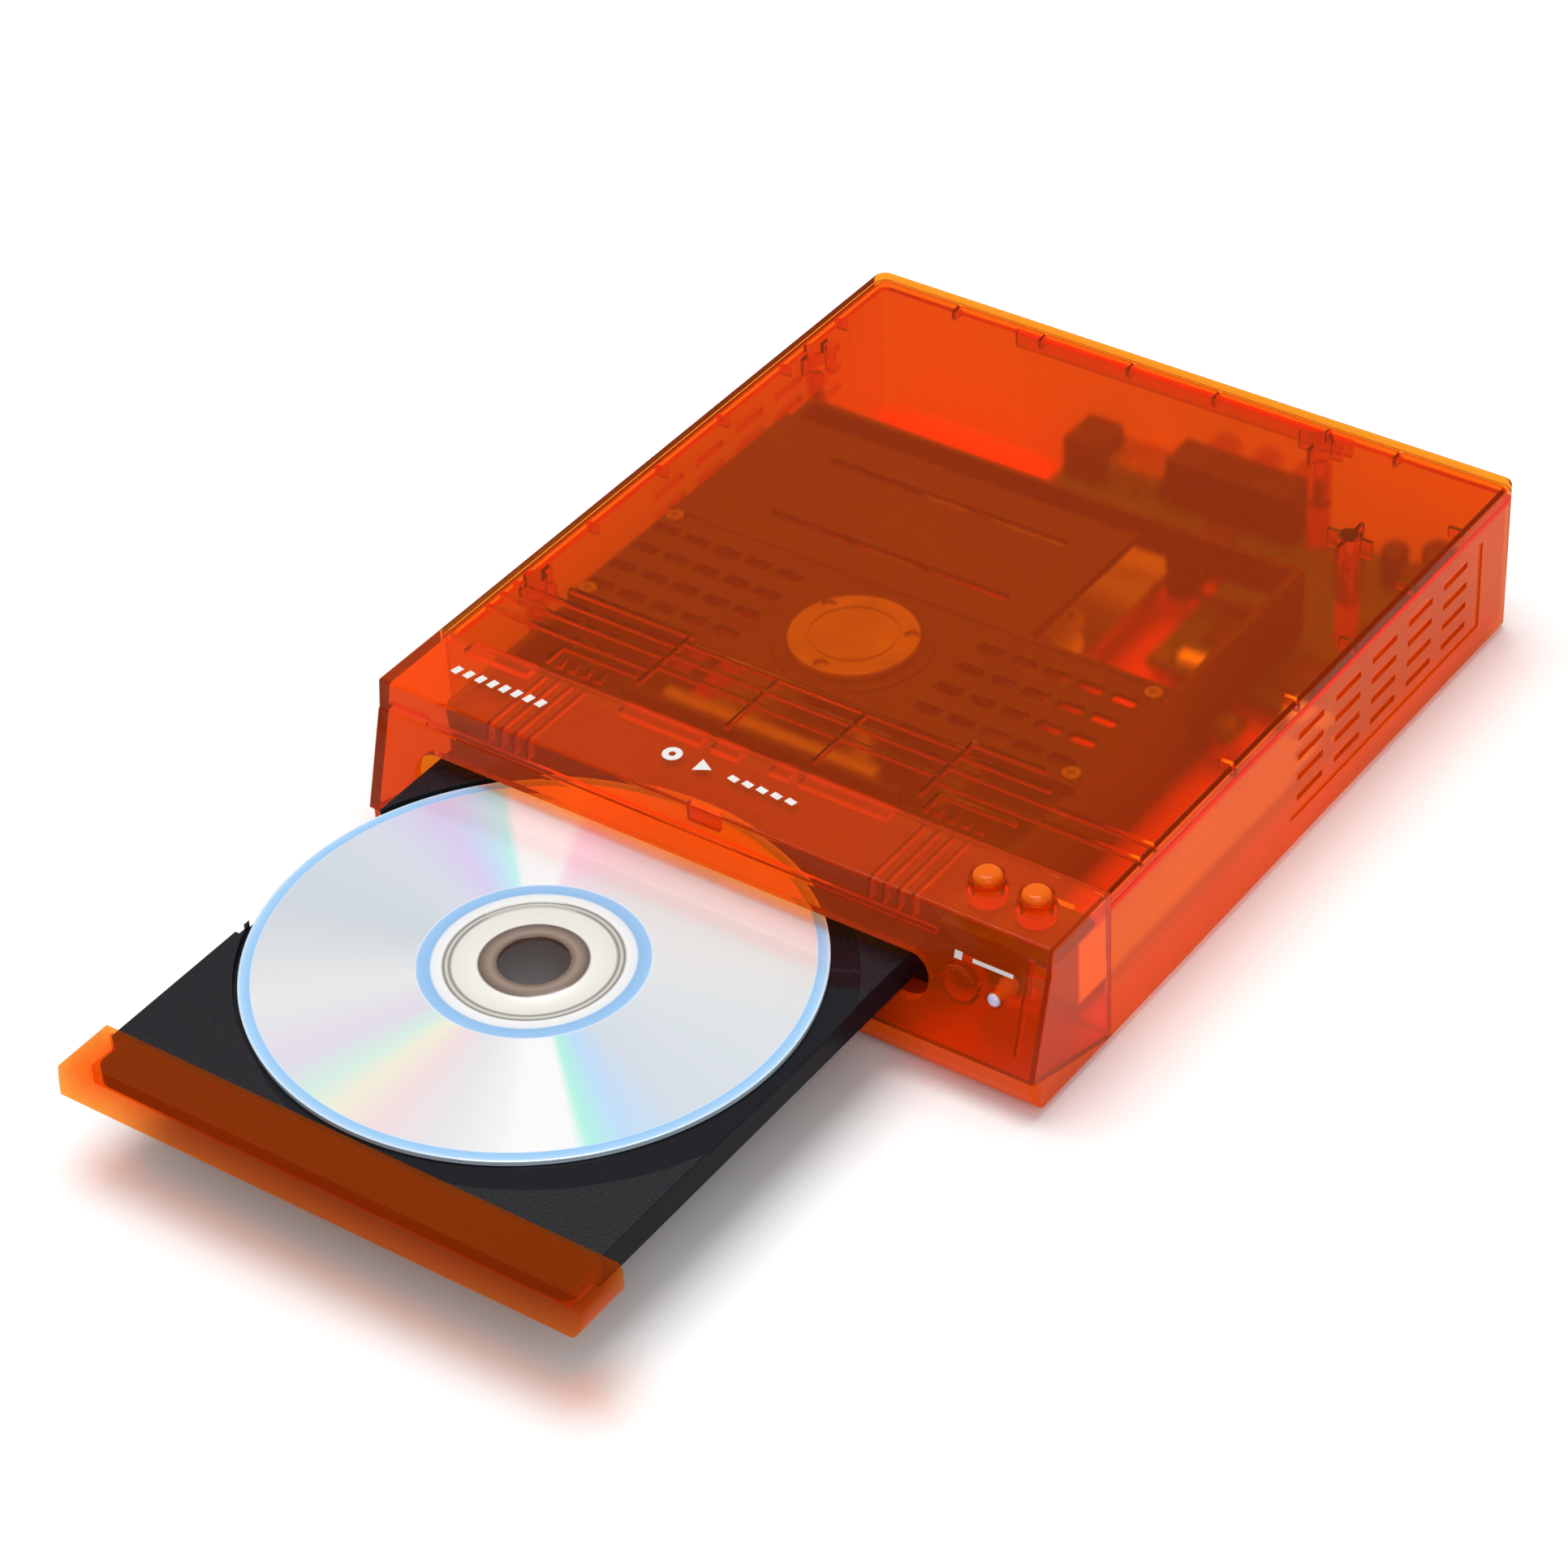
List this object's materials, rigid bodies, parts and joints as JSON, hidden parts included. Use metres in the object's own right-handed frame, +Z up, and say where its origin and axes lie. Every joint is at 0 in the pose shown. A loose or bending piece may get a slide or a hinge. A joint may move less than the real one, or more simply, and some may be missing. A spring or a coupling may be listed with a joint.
{
  "type": "portable disc player",
  "caption": "Compact tray-loading disc player in a translucent case, with the tray out, a disc on it, two push buttons and rear sockets.",
  "frame": {"origin": "centre of the rest footprint, tray out, on the plane the feet stand on", "axes": "+X to the right and +Y to the back as seen by someone facing the front, +Z up"},
  "size_m": [0.17, 0.3204, 0.0424],
  "materials": {
    "clear_cover": "translucent orange, glossy",
    "clear_bezel": "translucent orange, glossy",
    "clear_shell": "translucent orange, satin",
    "clear_door": "translucent orange, glossy",
    "foot_rubber": "matt",
    "screw_steel": "zinc plated",
    "clear_button": "translucent orange, glossy",
    "tray_black": "fine texture",
    "disc_silver": "mirror coated polycarbonate",
    "loader_black": "satin",
    "puck_white": "satin",
    "magnet_steel": "satin",
    "motor_steel": "satin",
    "belt_rubber": "matt",
    "gear_white": "satin",
    "cam_grey": "satin",
    "traverse_steel": "stamped",
    "rod_steel": "ground",
    "sled_black": "matt",
    "lens_glass": "coated",
    "bush_rubber": "matt",
    "board_green": "solder mask",
    "chip_black": "matt",
    "capacitor_sleeve": "gloss",
    "connector_cream": "satin",
    "socket_steel": "bright",
    "inlet_black": "satin",
    "jack_plate": "satin",
    "jack_metal": "plated",
    "insulator_plastic": "gloss",
    "led_clear": "diffused",
    "receiver_dark": "infrared filter",
    "cable_white": "flat cable",
    "switch_body": "satin"
  },
  "bodies": {
    "player": {"bottom_shell": "clear_shell", "top_cover": "clear_cover", "front_bezel": "clear_bezel", "rubber_feet": "foot_rubber", "case_screws": "screw_steel", "loader_chassis": "loader_black", "clamp_bridge": "loader_black", "loader_screws": "screw_steel", "bridge_screws": "screw_steel", "loading_motor": "motor_steel", "drive_belt": "belt_rubber", "pivot_bushes": "bush_rubber", "main_board": "board_green", "processor_chip": "chip_black", "memory_chips": "chip_black", "capacitors": "capacitor_sleeve", "cable_connectors": "connector_cream", "board_screws": "screw_steel", "power_inlet": "inlet_black", "video_socket": "socket_steel", "jack_block": "jack_plate", "jack_barrels": "jack_metal", "jack_insulators": "insulator_plastic", "key_board": "board_green", "tact_switches": "switch_body", "standby_led": "led_clear", "ir_receiver": "receiver_dark", "front_cable": "cable_white", "end_switch": "switch_body"},
    "tray": {"tray": "tray_black", "tray_door": "clear_door"},
    "disc": {"disc": "disc_silver"},
    "play_button": {"play_button": "clear_button"},
    "eject_button": {"eject_button": "clear_button"},
    "drive_gear": {"drive_gear": "gear_white"},
    "pulley_gear": {"pulley_gear": "gear_white"},
    "motor_pulley": {"motor_pulley": "gear_white"},
    "lift_cam": {"lift_cam": "cam_grey"},
    "traverse": {"traverse_frame": "traverse_steel", "spindle_motor": "motor_steel", "guide_rods": "rod_steel", "sled_motor": "motor_steel"},
    "turntable": {"turntable": "sled_black"},
    "sled": {"pickup_sled": "sled_black", "pickup_lens": "lens_glass"},
    "sled_gear": {"sled_gear": "gear_white"},
    "sled_pinion": {"sled_pinion": "gear_white"},
    "clamp": {"clamp_puck": "puck_white", "clamp_magnet": "magnet_steel"}
  },
  "joints": [
    {"name": "tray_slide", "type": "slide", "parent": "player", "child": "tray", "axis": [0, 1, 0], "range_m": [0, 0.1155]},
    {"name": "disc_spin", "type": "hinge", "parent": "tray", "child": "disc", "pos_m": [-0.0125, -0.08176, 0.0235], "axis": [0, 0, 1], "continuous": true},
    {"name": "play_press", "type": "slide", "parent": "player", "child": "play_button", "axis": [0, 0, -1], "range_m": [0, 0.0004], "stiffness_N_per_m": 900, "springref_m": -0.0003},
    {"name": "eject_press", "type": "slide", "parent": "player", "child": "eject_button", "axis": [0, 0, -1], "range_m": [0, 0.0004], "stiffness_N_per_m": 900, "springref_m": -0.0003},
    {"name": "drive_gear_turn", "type": "hinge", "parent": "player", "child": "drive_gear", "pos_m": [0.033, -0.01376, 0.017], "axis": [0, 0, 1], "range_deg": [0, 827.71]},
    {"name": "pulley_gear_turn", "type": "hinge", "parent": "player", "child": "pulley_gear", "pos_m": [0.0154, -0.01376, 0.017], "axis": [0, 0, 1], "range_deg": [-2206.39, 0]},
    {"name": "motor_turn", "type": "hinge", "parent": "player", "child": "motor_pulley", "pos_m": [-0.009, -0.01376, 0.017], "axis": [0, 0, 1], "range_deg": [-5964.57, 0]},
    {"name": "traverse_lift", "type": "hinge", "parent": "player", "child": "traverse", "pos_m": [-0.0125, 0.11624, 0.014], "axis": [-1, 0, 0], "range_deg": [0, 3.34]},
    {"name": "cam_slide", "type": "slide", "parent": "player", "child": "lift_cam", "axis": [-1, 0, 0], "range_m": [0, 0.01402]},
    {"name": "spindle_spin", "type": "hinge", "parent": "traverse", "child": "turntable", "pos_m": [-0.0125, 0.03353, 0.01519], "axis": [0, -0.0582, 0.9983], "continuous": true},
    {"name": "sled_slide", "type": "slide", "parent": "traverse", "child": "sled", "axis": [0, 0.9983, 0.0582], "range_m": [0, 0.034]},
    {"name": "sled_gear_turn", "type": "hinge", "parent": "traverse", "child": "sled_gear", "pos_m": [0.0122, 0.07214, 0.01443], "axis": [0, -0.0582, 0.9983], "range_deg": [-464.32, 0]},
    {"name": "sled_pinion_turn", "type": "hinge", "parent": "traverse", "child": "sled_pinion", "pos_m": [0.0122, 0.08263, 0.01505], "axis": [0, -0.0582, 0.9983], "range_deg": [0, 1484.73]},
    {"name": "clamp_spin", "type": "hinge", "parent": "player", "child": "clamp", "pos_m": [-0.0125, 0.03374, 0.031], "axis": [0, 0, 1], "continuous": true}
  ],
  "couplings": [
    {"joint": "drive_gear_turn", "follows": "tray_slide", "rad_per_m": 125},
    {"joint": "pulley_gear_turn", "follows": "tray_slide", "rad_per_m": -333.33},
    {"joint": "motor_turn", "follows": "tray_slide", "rad_per_m": -901.23},
    {"joint": "cam_slide", "follows": "traverse_lift", "m_per_rad": 0.24049},
    {"joint": "sled_gear_turn", "follows": "sled_slide", "rad_per_m": -238.1},
    {"joint": "sled_pinion_turn", "follows": "sled_slide", "rad_per_m": 761.9}
  ]
}
